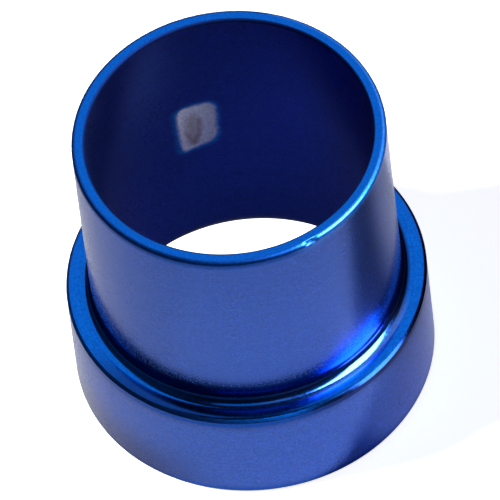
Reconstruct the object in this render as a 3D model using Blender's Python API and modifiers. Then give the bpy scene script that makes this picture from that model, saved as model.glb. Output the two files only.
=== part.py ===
"""Tube sleeve for flared tube: one turned aluminium piece with a barrel, a collar and a flare seat.

The sleeve stands on its flare end, with the axis on Z and the base land at z = 0.
"""

import math

import bpy

MM = 0.001

# Driving dimensions, from the tube outwards
TUBE_DIAMETER = 12.7 * MM
TUBE_CLEARANCE = 0.10 * MM
BARREL_WALL = 0.60 * MM
OVERALL_LENGTH = 16.0 * MM
RIM_OUTER_ROUND = 0.20 * MM
RIM_INNER_ROUND = 0.12 * MM

SHOULDER_WIDTH = 1.10 * MM
COLLAR_HEIGHT = 5.5 * MM
SHOULDER_FILLET = 0.30 * MM
COLLAR_TOP_ROUND = 0.20 * MM
COLLAR_BASE_ROUND = 0.32 * MM

FLARE_WIDTH = 0.70 * MM
FLARE_HALF_ANGLE = 33.0
FLARE_BLEND_ROUND = 1.0 * MM

# Radii that follow from them
BORE_RADIUS = (TUBE_DIAMETER + TUBE_CLEARANCE) / 2
BARREL_RADIUS = BORE_RADIUS + BARREL_WALL
COLLAR_RADIUS = BARREL_RADIUS + SHOULDER_WIDTH

TURNING_STEPS = 96
ARC_STEPS = 6
SHARP_ANGLE = 25.0
MERGE_DISTANCE = 0.001 * MM

ANODISE_COLOUR = (0.045, 0.085, 0.34, 1.0)
ANODISE_ROUGHNESS = 0.38
ANODISE_METALLIC = 1.0


def clear_scene():
    for obj in list(bpy.data.objects):
        bpy.data.objects.remove(obj, do_unlink=True)


def arc(centre, radius, start, end, steps=ARC_STEPS):
    """Points on an arc, from one angle to the other in degrees, with 0 outwards and 90 up."""
    turn = (end - start) / steps
    angles = [math.radians(start + turn * i) for i in range(steps + 1)]
    return [(centre[0] + radius * math.cos(a), centre[1] + radius * math.sin(a)) for a in angles]


def outer_side():
    """The barrel, the shoulder and the collar, from the rim down to the base land."""
    rim_centre = (BARREL_RADIUS - RIM_OUTER_ROUND, OVERALL_LENGTH - RIM_OUTER_ROUND)
    fillet_centre = (BARREL_RADIUS + SHOULDER_FILLET, COLLAR_HEIGHT + SHOULDER_FILLET)
    top_centre = (COLLAR_RADIUS - COLLAR_TOP_ROUND, COLLAR_HEIGHT - COLLAR_TOP_ROUND)
    base_centre = (COLLAR_RADIUS - COLLAR_BASE_ROUND, COLLAR_BASE_ROUND)
    return (
        arc(rim_centre, RIM_OUTER_ROUND, 90, 0)
        + arc(fillet_centre, SHOULDER_FILLET, 180, 270)
        + arc(top_centre, COLLAR_TOP_ROUND, 90, 0)
        + arc(base_centre, COLLAR_BASE_ROUND, 0, -90)
    )


def inner_side():
    """The flare seat, its blend into the bore, and the bore, from the mouth up to the rim."""
    half_angle = math.radians(FLARE_HALF_ANGLE)
    seat_top = FLARE_WIDTH / math.tan(half_angle)
    blend_height = seat_top + FLARE_BLEND_ROUND * math.tan(half_angle / 2)
    blend_centre = (BORE_RADIUS + FLARE_BLEND_ROUND, blend_height)
    rim_centre = (BORE_RADIUS + RIM_INNER_ROUND, OVERALL_LENGTH - RIM_INNER_ROUND)
    return (
        [(BORE_RADIUS + FLARE_WIDTH, 0.0)]
        + arc(blend_centre, FLARE_BLEND_ROUND, 180 + FLARE_HALF_ANGLE, 180)
        + arc(rim_centre, RIM_INNER_ROUND, 180, 90)
    )


def anodised_aluminium():
    material = bpy.data.materials.new("anodised_aluminium")
    material.use_nodes = True
    shader = material.node_tree.nodes["Principled BSDF"]
    shader.inputs["Base Color"].default_value = ANODISE_COLOUR
    shader.inputs["Roughness"].default_value = ANODISE_ROUGHNESS
    shader.inputs["Metallic"].default_value = ANODISE_METALLIC
    return material


def turned(name, profile, collection):
    """One solid of revolution about Z from a closed profile at +X."""
    count = len(profile)
    points = [(radius, 0.0, height) for radius, height in profile]
    edges = [(i, (i + 1) % count) for i in range(count)]
    mesh = bpy.data.meshes.new(name)
    mesh.from_pydata(points, edges, [])
    obj = bpy.data.objects.new(name, mesh)
    collection.objects.link(obj)
    screw = obj.modifiers.new("turning", "SCREW")
    screw.axis = "Z"
    screw.angle = math.tau
    screw.steps = TURNING_STEPS
    screw.render_steps = TURNING_STEPS
    screw.use_merge_vertices = True
    screw.merge_threshold = MERGE_DISTANCE
    bpy.context.view_layer.objects.active = obj
    bpy.ops.object.modifier_apply(modifier=screw.name)
    obj.data.shade_smooth()
    obj.data.set_sharp_from_angle(angle=math.radians(SHARP_ANGLE))
    return obj


def build():
    clear_scene()
    collection = bpy.data.collections.new("tube_sleeve")
    bpy.context.scene.collection.children.link(collection)
    sleeve = turned("tube_sleeve", outer_side() + inner_side(), collection)
    sleeve.data.materials.append(anodised_aluminium())


build()
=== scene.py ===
import bpy
import bmesh
import math
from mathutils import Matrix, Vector


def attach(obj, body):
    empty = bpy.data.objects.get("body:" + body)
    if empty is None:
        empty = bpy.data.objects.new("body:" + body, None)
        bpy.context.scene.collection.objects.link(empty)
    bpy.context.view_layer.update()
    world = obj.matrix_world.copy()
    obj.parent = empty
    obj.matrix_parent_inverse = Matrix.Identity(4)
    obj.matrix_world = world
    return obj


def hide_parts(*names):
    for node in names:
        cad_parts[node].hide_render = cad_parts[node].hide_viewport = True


# Blue anodised tube sleeve on a pale table, seen from above its front
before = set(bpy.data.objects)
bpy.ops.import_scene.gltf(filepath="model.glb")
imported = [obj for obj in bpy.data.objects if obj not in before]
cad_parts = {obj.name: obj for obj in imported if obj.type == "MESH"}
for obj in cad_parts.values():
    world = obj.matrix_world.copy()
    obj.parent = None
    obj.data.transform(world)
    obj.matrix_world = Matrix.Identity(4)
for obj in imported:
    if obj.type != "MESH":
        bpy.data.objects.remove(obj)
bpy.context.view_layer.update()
mm = 0.001


def deselectAll():
    if bpy.context.object and bpy.context.object.mode != "OBJECT":
        bpy.ops.object.mode_set(mode="OBJECT")
    bpy.ops.object.select_all(action="DESELECT")


# all sizes in millimetres, outwards from the tube that the sleeve takes
sleeve = {
    "bore": 6.40,                   # radii
    "barrel": 7.00,
    "collar": 8.10,
    "mouth": 7.10,
    "length": 16.0,                 # heights
    "shoulder": 5.5,
    "seatTop": 1.078,               # where the flare seat would meet the bore
    "rimOuterRound": (0.20, 8),     # size of each round and the facets across it
    "rimInnerRound": (0.12, 6),
    "fillet": (0.50, 12),
    "collarTopBreak": (0.13, 10),
    "collarBaseRound": (0.32, 8),
    "mouthBreak": (0.04, 2),
    "flareBlend": (0.29, 6),        # how far the blend runs each way from the corner
    "roundProfile": 0.5,
    "collarTopProfile": 0.26,       # nearly a flat chamfer
    "steps": 480,                   # facets round the axis
    "mergeWithin": 0.0005,
    "wallWeight": 90,               # pull of the large faces on the normals
}

# small nick in the outer edge of the rim, in mm and degrees
rimNick = {
    "azimuth": -64.3,
    "halfWidths": (0.34, 0.24, 0.15),   # each is pushed in one step further
    "step": 0.022,
    "above": 15.82,
    "outside": 6.86,
}


def ringEdges(mesh, radius, height, near=0.004):
    # edges that lie on one turned ring, in mm
    found = []
    for edge in mesh.edges:
        if all(abs(math.hypot(v.co.x, v.co.y) / mm - radius) < near
               and abs(v.co.z / mm - height) < near for v in edge.verts):
            found.append(edge)
    return found


def roundRing(obj, radius, height, turn, profile):
    size, segments = turn
    mesh = bmesh.from_edit_mesh(obj.data)
    bpy.ops.mesh.select_all(action="DESELECT")
    for edge in ringEdges(mesh, radius, height):
        edge.select = True
    bmesh.update_edit_mesh(obj.data)
    bpy.ops.mesh.bevel(offset=size * mm, offset_type="OFFSET", segments=segments, profile=profile,
                       affect="EDGES", clamp_overlap=False)


def nickRim(obj, radius, nick):
    mesh = bmesh.from_edit_mesh(obj.data)
    az = math.radians(nick["azimuth"])
    middle = Vector((radius * mm * math.cos(az), radius * mm * math.sin(az)))
    push = nick["step"] * mm
    bpy.ops.mesh.select_mode(type="VERT")
    for halfWidth in nick["halfWidths"]:
        bpy.ops.mesh.select_all(action="DESELECT")
        for vert in mesh.verts:
            high = vert.co.z > nick["above"] * mm
            outer = math.hypot(vert.co.x, vert.co.y) > nick["outside"] * mm
            vert.select = high and outer and (vert.co.xy - middle).length < halfWidth * mm
        mesh.select_flush_mode()
        bmesh.update_edit_mesh(obj.data)
        bpy.ops.transform.translate(value=(-push * math.cos(az), -push * math.sin(az), -push))
    bpy.ops.mesh.select_mode(type="EDGE")


def makeSleeve(s, nick):
    deselectAll()
    bpy.ops.mesh.primitive_circle_add(vertices=s["steps"], radius=s["barrel"] * mm,
                                      fill_type="NOTHING", location=(0, 0, s["length"] * mm))
    obj = bpy.context.object
    obj.name = obj.data.name = "turnedSleeve"
    bpy.ops.object.transform_apply(location=True, rotation=True, scale=True)
    bpy.ops.object.mode_set(mode="EDIT")
    bpy.ops.mesh.select_mode(type="EDGE")
    bpy.ops.mesh.select_all(action="SELECT")

    # down the outside, across the foot and back up through the bore
    stops = [
        (s["barrel"], s["shoulder"]),
        (s["collar"], s["shoulder"]),
        (s["collar"], 0.0),
        (s["mouth"], 0.0),
        (s["bore"], s["seatTop"]),
        (s["bore"], s["length"]),
    ]
    radius, height = s["barrel"], s["length"]
    for nextRadius, nextHeight in stops:
        rise = (nextHeight - height) * mm
        bpy.ops.mesh.extrude_region_move(TRANSFORM_OT_translate={"value": (0, 0, rise)})
        grow = nextRadius / radius
        if grow != 1:
            bpy.ops.transform.resize(value=(grow, grow, 1),
                                     center_override=(0, 0, nextHeight * mm))
        radius, height = nextRadius, nextHeight

    # the rim closes the wall
    mesh = bmesh.from_edit_mesh(obj.data)
    bpy.ops.mesh.select_all(action="DESELECT")
    for edge in mesh.edges:
        edge.select = edge.is_boundary
    bmesh.update_edit_mesh(obj.data)
    bpy.ops.mesh.bridge_edge_loops()
    bpy.ops.mesh.select_all(action="SELECT")
    bpy.ops.mesh.remove_doubles(threshold=s["mergeWithin"] * mm)
    bpy.ops.mesh.normals_make_consistent(inside=False)

    # rounds, one ring at a time
    plain = s["roundProfile"]
    roundRing(obj, s["barrel"], s["length"], s["rimOuterRound"], plain)
    roundRing(obj, s["bore"], s["length"], s["rimInnerRound"], plain)
    roundRing(obj, s["barrel"], s["shoulder"], s["fillet"], plain)
    roundRing(obj, s["collar"], s["shoulder"], s["collarTopBreak"], s["collarTopProfile"])
    roundRing(obj, s["collar"], 0.0, s["collarBaseRound"], plain)
    roundRing(obj, s["mouth"], 0.0, s["mouthBreak"], plain)
    roundRing(obj, s["bore"], s["seatTop"], s["flareBlend"], plain)
    nickRim(obj, s["barrel"], nick)
    bpy.ops.object.mode_set(mode="OBJECT")
    bpy.ops.object.shade_smooth()

    # long walls keep their true normals beside the small rounds
    weighted = obj.modifiers.new("wallNormals", "WEIGHTED_NORMAL")
    weighted.mode = "FACE_AREA"
    weighted.weight = s["wallWeight"]
    bpy.ops.object.modifier_apply(modifier=weighted.name)
    return obj


turnedSleeve = makeSleeve(sleeve, rimNick)
print("stage 2: sleeve turned,", len(turnedSleeve.data.polygons), "faces")


class Nodes:
    # short ways to add and join the nodes of a material or of the world
    shares = ("rightward", "backward", "upright")   # places without a unit

    def __init__(self, owner, shader):
        owner.use_nodes = True
        self.owner = owner
        self.tree = owner.node_tree
        self.shader = self.tree.nodes[shader]

    def add(self, kind, **settings):
        node = self.tree.nodes.new("ShaderNode" + kind)
        for name, value in settings.items():
            setattr(node, name, value)
        return node

    def feed(self, value, socket):
        if hasattr(value, "is_linked"):
            self.tree.links.new(value, socket)
        elif isinstance(value, tuple) and socket.type == "RGBA":
            socket.default_value = (*value, 1)
        else:
            socket.default_value = value

    def give(self, name, value):
        self.feed(value, self.shader.inputs[name])

    def maths(self, kind, *values):
        node = self.add("Math", operation=kind)
        for value, socket in zip(values, node.inputs):
            self.feed(value, socket)
        return node.outputs[0]

    def product(self, first, *others):
        for other in others:
            first = self.maths("MULTIPLY", first, other)
        return first

    def rest(self, mask):
        return self.maths("SUBTRACT", 1.0, mask)

    def slide(self, value, amount, target):
        # from the value to the target by the amount
        way = self.maths("SUBTRACT", target, value)
        return self.maths("ADD", value, self.maths("MULTIPLY", amount, way))

    def ease(self, value, start, end, low=0.0, high=1.0):
        node = self.add("MapRange", interpolation_type="SMOOTHSTEP")
        given = {"Value": value, "From Min": start, "From Max": end, "To Min": low, "To Max": high}
        for name, entry in given.items():
            self.feed(entry, node.inputs[name])
        return node.outputs["Result"]

    def mix(self, amount, first, second):
        node = self.add("Mix", data_type="RGBA")
        self.feed(amount, node.inputs["Factor"])
        colours = [i for i in node.inputs if i.type == "RGBA"]
        self.feed(first, colours[0])
        self.feed(second, colours[1])
        return [o for o in node.outputs if o.type == "RGBA"][0]

    def split(self, vector):
        node = self.add("SeparateXYZ")
        self.feed(vector, node.inputs[0])
        return node.outputs

    def distance(self, vector, point):
        node = self.add("VectorMath", operation="DISTANCE")
        self.feed(vector, node.inputs[0])
        node.inputs[1].default_value = point
        return node.outputs["Value"]

    def noise(self, vector, scale, detail=2.0):
        node = self.add("TexNoise")
        self.feed(vector, node.inputs["Vector"])
        node.inputs["Scale"].default_value = scale
        node.inputs["Detail"].default_value = detail
        return node.outputs["Fac"]

    def swing(self, noise, start=0.3, end=0.7):
        # noise spread out from -1 to 1
        return self.ease(noise, start, end, -1.0, 1.0)

    def zone(self, places, limits):
        # each limit comes in from its first value to its second, up to the third if it has one
        parts = []
        for name, start, end, *full in limits:
            unit = 1 if name in self.shares else mm
            parts.append(self.ease(places[name], start * unit, end * unit, 0.0, *full))
        return self.product(*parts)

    def patch(self, u, v, corners, soft):
        # one inside straight sides, fading over them; corners in mm, anticlockwise
        mask = 1.0
        for (pu, pv), (qu, qv) in zip(corners, corners[1:] + corners[:1]):
            length = math.hypot(qu - pu, qv - pv)
            nu, nv = (pv - qv) / length, (qu - pu) / length
            inward = self.maths("MULTIPLY_ADD", u, nu, -(nu * pu + nv * pv) * mm)
            inward = self.maths("MULTIPLY_ADD", v, nv, inward)
            mask = self.maths("MULTIPLY", self.ease(inward, -soft * mm, soft * mm), mask)
        return mask


anodise = {
    "satin": (0.036, 0.106, 0.46),      # cylindrical sides
    "bright": (0.003, 0.105, 0.55),     # faces, rounds and the strips beside them
    "edge": (0.020, 0.190, 0.80),       # outer round of the rim, painted lighter at the right as a highlight
    "rimEdgeShaded": (0.006, 0.075, 0.42),   # and its far side, painted darker as shade
    "low": (0.012, 0.024, 0.12),        # painted shade on the collar's wall beside its edges, mostly low at the left
    "bore": (0.045, 0.090, 0.40),
    "lip": (0.006, 0.020, 0.12),        # painted shade on the bore just under the rim, painted dark reflections in zones outside, and the faint ring's dark colour
    # how strongly the crescent is painted dark as a dark reflection
    "crescentPaintedDark": 0.85,
    "grazing": (0.75, 0.75, 0.80),      # tint of the metal seen along its surface
    "brightRough": 0.16,
    "satinRough": 0.26,
    "boreRough": 0.30,
    "lipRough": 0.35,                   # added to the bore's
    "edgeRough": 0.42,
    "collarEdgeRough": 0.16,            # collar's top edge at the right
    "edgeTurnsGlossy": (0.1, 0.4),      # share of the radius to the right
    "satinCoat": 0.25,
    "edgeCoat": 0.4,
    "coatRough": 0.12,
    "coatIor": 1.5,
    "shineAt": -55,                     # azimuth where the fillet is coated smooth
    "shineReach": (40, 22),             # degrees from there: none, full
    "grain": 9000,                      # fine grain, turning rings and blotches, per metre
    "grainDetail": 3.0,
    "grainDepth": 0.15,
    "grainRough": 0.03,
    "rings": 11000,
    "ringDepth": 0.05,
    "blotches": 320,
    "blotchRough": 0.06,
    "bump": 0.03,
    "bumpDepth": 0.004,
}

# where each finish, painted shade and painted dark reflection lies, by radius and height in mm,
# by the share of the radius to the right or the back, and by how upright the normal is
zones = {
    "inside": [("radius", 6.53, 6.47)],
    "barrel": [("radius", 7.62, 7.5)],
    "side": [("upright", 0.55, 0.05)],
    "barrelSatin": [("height", 6.25, 6.75), ("height", 15.9, 15.3)],
    "collarSatin": [("height", 0.25, 0.60), ("height", 5.16, 4.98)],
    "rimEdge": [("radius", 6.78, 6.86), ("height", 15.35, 15.75)],
    "rimRight": [("rightward", 0.28, 0.46)],
    # bore just under the rim, painted dark as shade and made rougher
    "lip": [("height", 15.75, 15.88)],
    "fillet": [("radius", 7.56, 7.50), ("height", 6.1, 6.0)],
    # painted dark reflections: the crescent at the right, the flat at the left front, the collar's
    # right edge
    "paintedCrescent": [("radius", 7.40, 7.26), ("height", 6.1, 5.8), ("rightward", 0.80, 0.92)],
    "flatLeftPaintedDark": [("radius", 7.50, 7.62), ("height", 5.30, 5.42), ("rightward", 0.0, -0.45, 0.75),
                 ("backward", -0.3, -0.7)],
    "collarEdge": [("radius", 7.93, 7.98), ("height", 5.30, 5.36)],
    "edgeRightPaintedDark": [("radius", 7.93, 7.98), ("height", 5.06, 5.14), ("rightward", 0.1, 0.45, 0.9)],
    # painted shade on the collar's wall: below its top edge, at its foot and low at the left
    "headPaintedShade": [("height", 4.6, 5.2, 0.45), ("height", 5.44, 5.38)],
    "foot": [("height", 0.8, 0.1, 0.45)],
    "footLeftPaintedShade": [("height", 3.6, 0.3, 0.85), ("rightward", -0.2, -0.75)],
}

# where the rack held the sleeve while it was anodised, on the wall of the bore
rackMark = {
    "wall": sleeve["bore"],
    "halo": (0.02, 0.40, 0.95),
    "metal": (0.90, 0.91, 1.0),
    "brown": (0.30, 0.17, 0.14),
    "rough": 0.62,
    "haloStrength": 0.7,
    "cloudStrength": 0.45,
    "streakStrength": 0.65,
    "haloSoft": 0.2,                    # half widths in mm over which the sides fade
    "metalSoft": 0.14,
    "cloudSoft": 0.35,
    "streakSoft": 0.16,
    "ragged": 0.16,                     # how far in mm the outlines wander, and how finely
    "raggedScale": 2600,
    "raggedDetail": 3.0,
    # corners in mm round the bore from azimuth 0 and up from the base
    "haloCorners": [(12.20, 6.85), (12.46, 7.10), (12.55, 10.10), (12.20, 10.36),
                    (10.70, 10.26), (10.36, 9.90), (10.40, 7.50), (10.70, 7.05)],
    "metalCorners": [(12.12, 7.02), (12.28, 7.45), (12.36, 9.85), (12.12, 10.18),
                     (10.85, 10.14), (10.50, 9.80), (10.52, 7.75), (10.85, 7.24)],
    "cloudCorners": [(12.02, 7.55), (11.95, 9.60), (11.34, 9.60), (11.42, 7.55)],
    "streakCorners": [
        [(11.41, 8.10), (11.36, 9.20), (11.22, 9.20), (11.27, 8.10)],
        [(11.72, 7.42), (11.43, 8.20), (11.26, 8.14), (11.53, 7.36)],
        [(11.82, 7.34), (11.82, 7.72), (11.46, 7.72), (11.46, 7.34)],
        [(12.02, 8.30), (11.98, 8.48), (11.66, 7.70), (11.74, 7.58)],
    ],
}

# faint ring left on the collar's wall
ringMark = {
    "wall": sleeve["collar"],
    "azimuth": -38.6,
    "height": 1.74,
    "radius": 0.42,
    "width": 0.07,
    "broken": (0.42, 0.55),             # blotches between which the line comes in
    "strength": 0.45,
}


def sleevePlaces(n):
    # where a point of the sleeve lies, and how upright its normal is
    point = n.add("TexCoord").outputs["Object"]
    x, y, height = n.split(point)
    radius = n.maths("SQRT", n.maths("ADD", n.product(x, x), n.product(y, y)))
    normal = n.split(n.add("NewGeometry").outputs["Normal"])
    return {
        "point": point,
        "x": x,
        "y": y,
        "height": height,
        "radius": radius,
        "rightward": n.maths("DIVIDE", x, radius),
        "backward": n.maths("DIVIDE", y, radius),
        "upright": n.maths("ABSOLUTE", normal[2]),
    }


def paintRack(n, at, inside, colour, rack):
    # the same wander moves the outlines both ways
    wander = n.noise(at["point"], rack["raggedScale"], rack["raggedDetail"])
    wander = n.maths("MULTIPLY_ADD", wander, rack["ragged"] * mm, -rack["ragged"] / 2 * mm)
    around = n.product(n.maths("ARCTAN2", at["y"], at["x"]), rack["wall"] * mm)
    around = n.maths("ADD", around, wander)
    upward = n.maths("SUBTRACT", at["height"], wander)

    def patch(name, corners):
        return n.patch(around, upward, corners, rack[name + "Soft"])

    halo = n.product(patch("halo", rack["haloCorners"]), inside)
    bare = n.product(patch("metal", rack["metalCorners"]), inside)
    cloud = n.product(patch("cloud", rack["cloudCorners"]), bare)
    streak = 0.0
    for corners in rack["streakCorners"]:
        streak = n.maths("MAXIMUM", patch("streak", corners), streak)
    streak = n.product(streak, bare)
    colour = n.mix(n.product(halo, rack["haloStrength"]), colour, rack["halo"])
    colour = n.mix(bare, colour, rack["metal"])
    colour = n.mix(n.product(cloud, rack["cloudStrength"]), colour, rack["brown"])
    colour = n.mix(n.product(streak, rack["streakStrength"]), colour, rack["brown"])
    return colour, bare


def paintRing(n, at, blotches, colour, dark, ring):
    az = math.radians(ring["azimuth"])
    out = ring["wall"] * mm
    middle = (out * math.cos(az), out * math.sin(az), ring["height"] * mm)
    away = n.maths("SUBTRACT", n.distance(at["point"], middle), ring["radius"] * mm)
    onLine = n.ease(n.maths("ABSOLUTE", away), ring["width"] * mm, 0.0)
    onLine = n.product(onLine, n.ease(blotches, *ring["broken"]), ring["strength"])
    return n.mix(onLine, colour, dark)


def anodisedBlue(a, limits, rack, ring):
    n = Nodes(bpy.data.materials.new("anodisedBlue"), "Principled BSDF")
    n.give("Metallic", 1.0)
    n.give("Coat Roughness", a["coatRough"])
    n.give("Coat IOR", a["coatIor"])
    n.give("Specular Tint", a["grazing"])
    at = sleevePlaces(n)
    on = {name: n.zone(at, limit) for name, limit in limits.items()}
    outside = n.rest(on["inside"])
    offBarrel = n.rest(on["barrel"])

    # satin on the walls, bright beside their edges and on the faces
    walls = n.maths("ADD", n.product(on["barrelSatin"], on["barrel"]),
                    n.product(on["collarSatin"], offBarrel))
    satin = n.product(on["side"], walls, outside)

    # fine grain everywhere, and marks of the turning tool round the axis
    grain = n.swing(n.noise(at["point"], a["grain"], a["grainDetail"]))
    across = n.add("CombineXYZ")
    n.feed(at["radius"], across.inputs[0])
    n.feed(at["height"], across.inputs[1])
    rings = n.swing(n.noise(across.outputs[0], a["rings"]))
    blotches = n.noise(at["point"], a["blotches"])

    # colours, with painted dark reflections where the metal mirrors dark surroundings, and painted
    # shade and highlights
    # painted highlight and shade: the rim's outer round is lighter at the right and darker
    # elsewhere
    rim = n.mix(on["rimRight"], a["rimEdgeShaded"], a["edge"])
    colour = n.mix(on["rimEdge"], a["bright"], rim)
    # painted dark reflections on the collar's top edge at the right and the shoulder flat at the
    # left front
    colour = n.mix(n.maths("MAXIMUM", on["edgeRightPaintedDark"], on["flatLeftPaintedDark"]), colour, a["lip"])
    # painted dark reflection in the crescent at the right of the barrel's foot
    colour = n.mix(n.product(on["paintedCrescent"], a["crescentPaintedDark"]), colour, a["lip"])
    colour = n.mix(satin, colour, a["satin"])
    # painted shade on the collar at its foot, below its top edge and low at the left
    low = n.maths("MAXIMUM", on["foot"], n.product(on["headPaintedShade"], offBarrel))
    low = n.maths("MAXIMUM", low, on["footLeftPaintedShade"])
    colour = n.mix(low, colour, a["low"])
    # the bore, painted dark just under the rim as shade
    colour = n.mix(on["inside"], colour, n.mix(on["lip"], a["bore"], a["lip"]))
    colour, bare = paintRack(n, at, on["inside"], colour, rack)
    colour = paintRing(n, at, blotches, colour, a["lip"], ring)
    rings = n.product(rings, n.rest(bare))
    tone = n.maths("MULTIPLY_ADD", grain, a["grainDepth"], 1.0)
    tone = n.maths("MULTIPLY_ADD", rings, a["ringDepth"], tone)
    shade = n.add("VectorMath", operation="SCALE")
    n.feed(colour, shade.inputs[0])
    n.feed(tone, shade.inputs["Scale"])
    n.give("Base Color", shade.outputs[0])

    # roughness, edges first, then the walls, the bore and the bare metal
    rough = n.ease(on["rimEdge"], 0.0, 1.0, a["brightRough"], a["edgeRough"])
    edgeRough = n.ease(at["rightward"], *a["edgeTurnsGlossy"], a["edgeRough"], a["collarEdgeRough"])
    rough = n.maths("MAXIMUM", rough, n.product(on["collarEdge"], edgeRough))
    rough = n.slide(rough, satin, a["satinRough"])
    rough = n.slide(rough, on["inside"], a["boreRough"])
    rough = n.maths("ADD", rough, n.product(on["inside"], on["lip"], a["lipRough"]))
    rough = n.slide(rough, bare, rack["rough"])
    rough = n.maths("MULTIPLY_ADD", grain, a["grainRough"], rough)
    rough = n.maths("SUBTRACT", rough, a["blotchRough"] / 2)
    n.give("Roughness", n.maths("MULTIPLY_ADD", blotches, a["blotchRough"], rough))
    bump = n.add("Bump")
    bump.inputs["Strength"].default_value = a["bump"]
    bump.inputs["Distance"].default_value = a["bumpDepth"] * mm
    n.feed(n.maths("ADD", grain, rings), bump.inputs["Height"])
    n.give("Normal", bump.outputs["Normal"])

    # clear coat: thin on the satin and the rim's right edge, full on the fillet's highlight
    az = math.radians(a["shineAt"])
    none, full = (math.cos(math.radians(reach)) for reach in a["shineReach"])
    shine = n.maths("ADD", n.product(at["x"], math.cos(az)), n.product(at["y"], math.sin(az)))
    shine = n.ease(n.maths("DIVIDE", shine, at["radius"]), none, full)
    coat = n.maths("ADD", n.product(satin, a["satinCoat"]),
                   n.product(on["rimEdge"], on["rimRight"], a["edgeCoat"]))
    coat = n.maths("ADD", coat, n.product(on["fillet"], shine, outside))
    n.give("Coat Weight", n.maths("MINIMUM", coat, 1.0))
    return n.owner


turnedSleeve.data.materials.append(anodisedBlue(anodise, zones, rackMark, ringMark))
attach(turnedSleeve, "root")
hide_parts("tube_sleeve")
print("stage 3: anodised")


studio = {
    "tableSize": 3,                     # metres
    "tableColour": (0.86, 0.86, 0.87),
    "tableRough": 0.9,
    "tableFar": (0.05, 0.05, 0.05),     # painted dark reflection: the metal mirrors only the near table as pale
    "far": [("fromAxis", 19, 25)],      # zones in mm from the axis
    # painted darker reflection of the table at the left
    "leftFar": [("x", -8, -12, 0.15)],
    "cameraWhite": 0.90,                # added white of the table for the camera
    "boreWhite": 1.0,                   # and within the bore
    "boreReach": 7.3,
    "metalWhite": 0.05,                 # added white where the metal mirrors the shadow
    "glow": 0.50,                       # paler spot of it that the right side mirrors
    "glowAt": (14, 6, 0),
    "glowReach": (8, 2),
    "footGlow": 0.42,                   # paler shadow beside the collar
    "beside": [("x", 4.5, 6.5), ("x", 11.5, 9.8), ("y", -9.5, -6.5)],
    "roomDim": 0.02,
    # soft light of the room at the left; reach in degrees: none, full
    "roomGlow": {"azimuth": 188, "elevation": 25, "reach": (42, 12), "strength": 0.04},
}


def makeTable(s):
    deselectAll()
    bpy.ops.mesh.primitive_plane_add(size=s["tableSize"], location=(0, 0, 0))
    table = bpy.context.object
    table.name = "table"
    n = Nodes(bpy.data.materials.new("paleTable"), "Principled BSDF")
    n.give("Roughness", s["tableRough"])
    n.give("Specular IOR Level", 0.0)
    n.give("Emission Color", (1, 1, 1))
    rays = n.add("LightPath").outputs
    seen, mirrored = rays["Is Camera Ray"], rays["Is Glossy Ray"]
    point = n.add("TexCoord").outputs["Object"]
    x, y, height = n.split(point)
    at = {"x": x, "y": y, "fromAxis": n.distance(point, (0, 0, 0))}

    # painted dark reflection: what the metal mirrors of the table is dark far out
    far = n.maths("MAXIMUM", n.zone(at, s["far"]), n.zone(at, s["leftFar"]))
    far = n.product(mirrored, far)
    n.give("Base Color", n.mix(far, s["tableColour"], s["tableFar"]))

    # white for the camera, and paler shadows in the metal
    inBore = n.maths("LESS_THAN", at["fromAxis"], s["boreReach"] * mm)
    inBore = n.product(inBore, s["boreWhite"])
    white = n.product(seen, n.maths("ADD", inBore, s["cameraWhite"]))
    fromGlow = n.distance(point, [c * mm for c in s["glowAt"]])
    start, end = (reach * mm for reach in s["glowReach"])
    glow = n.ease(fromGlow, start, end, s["metalWhite"], s["glow"])
    beside = n.product(n.zone(at, s["beside"]), s["footGlow"])
    glow = n.product(mirrored, n.maths("MAXIMUM", glow, beside))
    n.give("Emission Strength", n.maths("ADD", white, glow))
    table.data.materials.append(n.owner)


def toward(azimuth, elevation):
    az, el = math.radians(azimuth), math.radians(elevation)
    return Vector((math.cos(el) * math.cos(az), math.cos(el) * math.sin(az), math.sin(el)))


def makeRoom(s):
    n = Nodes(bpy.data.worlds.new("studioRoom"), "Background")
    bpy.context.scene.world = n.owner
    glow = s["roomGlow"]
    along = n.add("VectorMath", operation="DOT_PRODUCT")
    n.feed(n.add("TexCoord").outputs["Generated"], along.inputs[0])
    along.inputs[1].default_value = toward(glow["azimuth"], glow["elevation"])
    none, full = (math.cos(math.radians(reach)) for reach in glow["reach"])
    strength = n.ease(along.outputs["Value"], none, full, 0.0, glow["strength"])
    n.give("Color", (1, 1, 1))
    n.give("Strength", n.maths("ADD", strength, s["roomDim"]))


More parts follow.
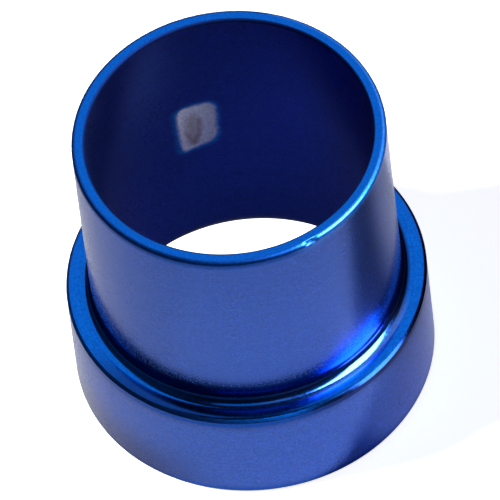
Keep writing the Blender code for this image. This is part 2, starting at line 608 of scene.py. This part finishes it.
# azimuth and elevation in degrees, the rest in metres and watts
lamps = {
    "keySoftbox": {"azimuth": -20, "elevation": 42, "distance": 0.9, "size": (0.45, 0.75),
                   "power": 21, "onTable": False},
    "backPanel": {"azimuth": 90, "elevation": 56, "distance": 0.9, "size": (2.0, 1.05),
                  "power": 6.6, "onTable": False},
    "frontPanel": {"azimuth": -96, "elevation": 56, "distance": 0.9, "size": (0.5, 0.3),
                   "power": 0.28, "onTable": False},
    "leftLamp": {"azimuth": 184, "elevation": 46, "distance": 0.9, "size": (0.09, 0.09),
                 "power": 10, "onTable": True},
}


def addLamp(name, values):
    deselectAll()
    place = toward(values["azimuth"], values["elevation"]) * values["distance"]
    bpy.ops.object.light_add(type="AREA", location=place)
    lamp = bpy.context.object
    lamp.name = lamp.data.name = name
    lamp.data.shape = "RECTANGLE"
    lamp.data.size, lamp.data.size_y = values["size"]
    lamp.data.energy = values["power"]
    lamp.rotation_euler = (-place).to_track_quat("-Z", "Y").to_euler()
    lamp.visible_camera = False
    # the left lamp lights the table only, the others are there for the metal's highlights
    lamp.visible_diffuse = values["onTable"]
    lamp.visible_glossy = not values["onTable"]


# placed by the lines of the rim, the shoulder and the foot in the photo
view = {
    "place": (0.000318865, -0.431725, 0.597006),
    "turn": (35.98937, 4.26033, -5.84041),
    "lens": 1178.572,
    "sensor": 36,
    "shift": 0.001,
    "clip": (0.01, 20),
}


def makeCamera(v):
    deselectAll()
    turn = [math.radians(t) for t in v["turn"]]
    bpy.ops.object.camera_add(location=v["place"], rotation=turn)
    camera = bpy.context.object
    camera.name = "photoCamera"
    camera.data.lens = v["lens"]
    camera.data.sensor_width = v["sensor"]
    camera.data.shift_x = -v["shift"]
    camera.data.shift_y = v["shift"]
    camera.data.clip_start, camera.data.clip_end = v["clip"]
    bpy.context.scene.camera = camera


makeTable(studio)
makeRoom(studio)
for lampName, lampValues in lamps.items():
    addLamp(lampName, lampValues)
makeCamera(view)
bpy.context.scene.view_settings.view_transform = "Standard"
print("stage 4: table, light and camera placed")
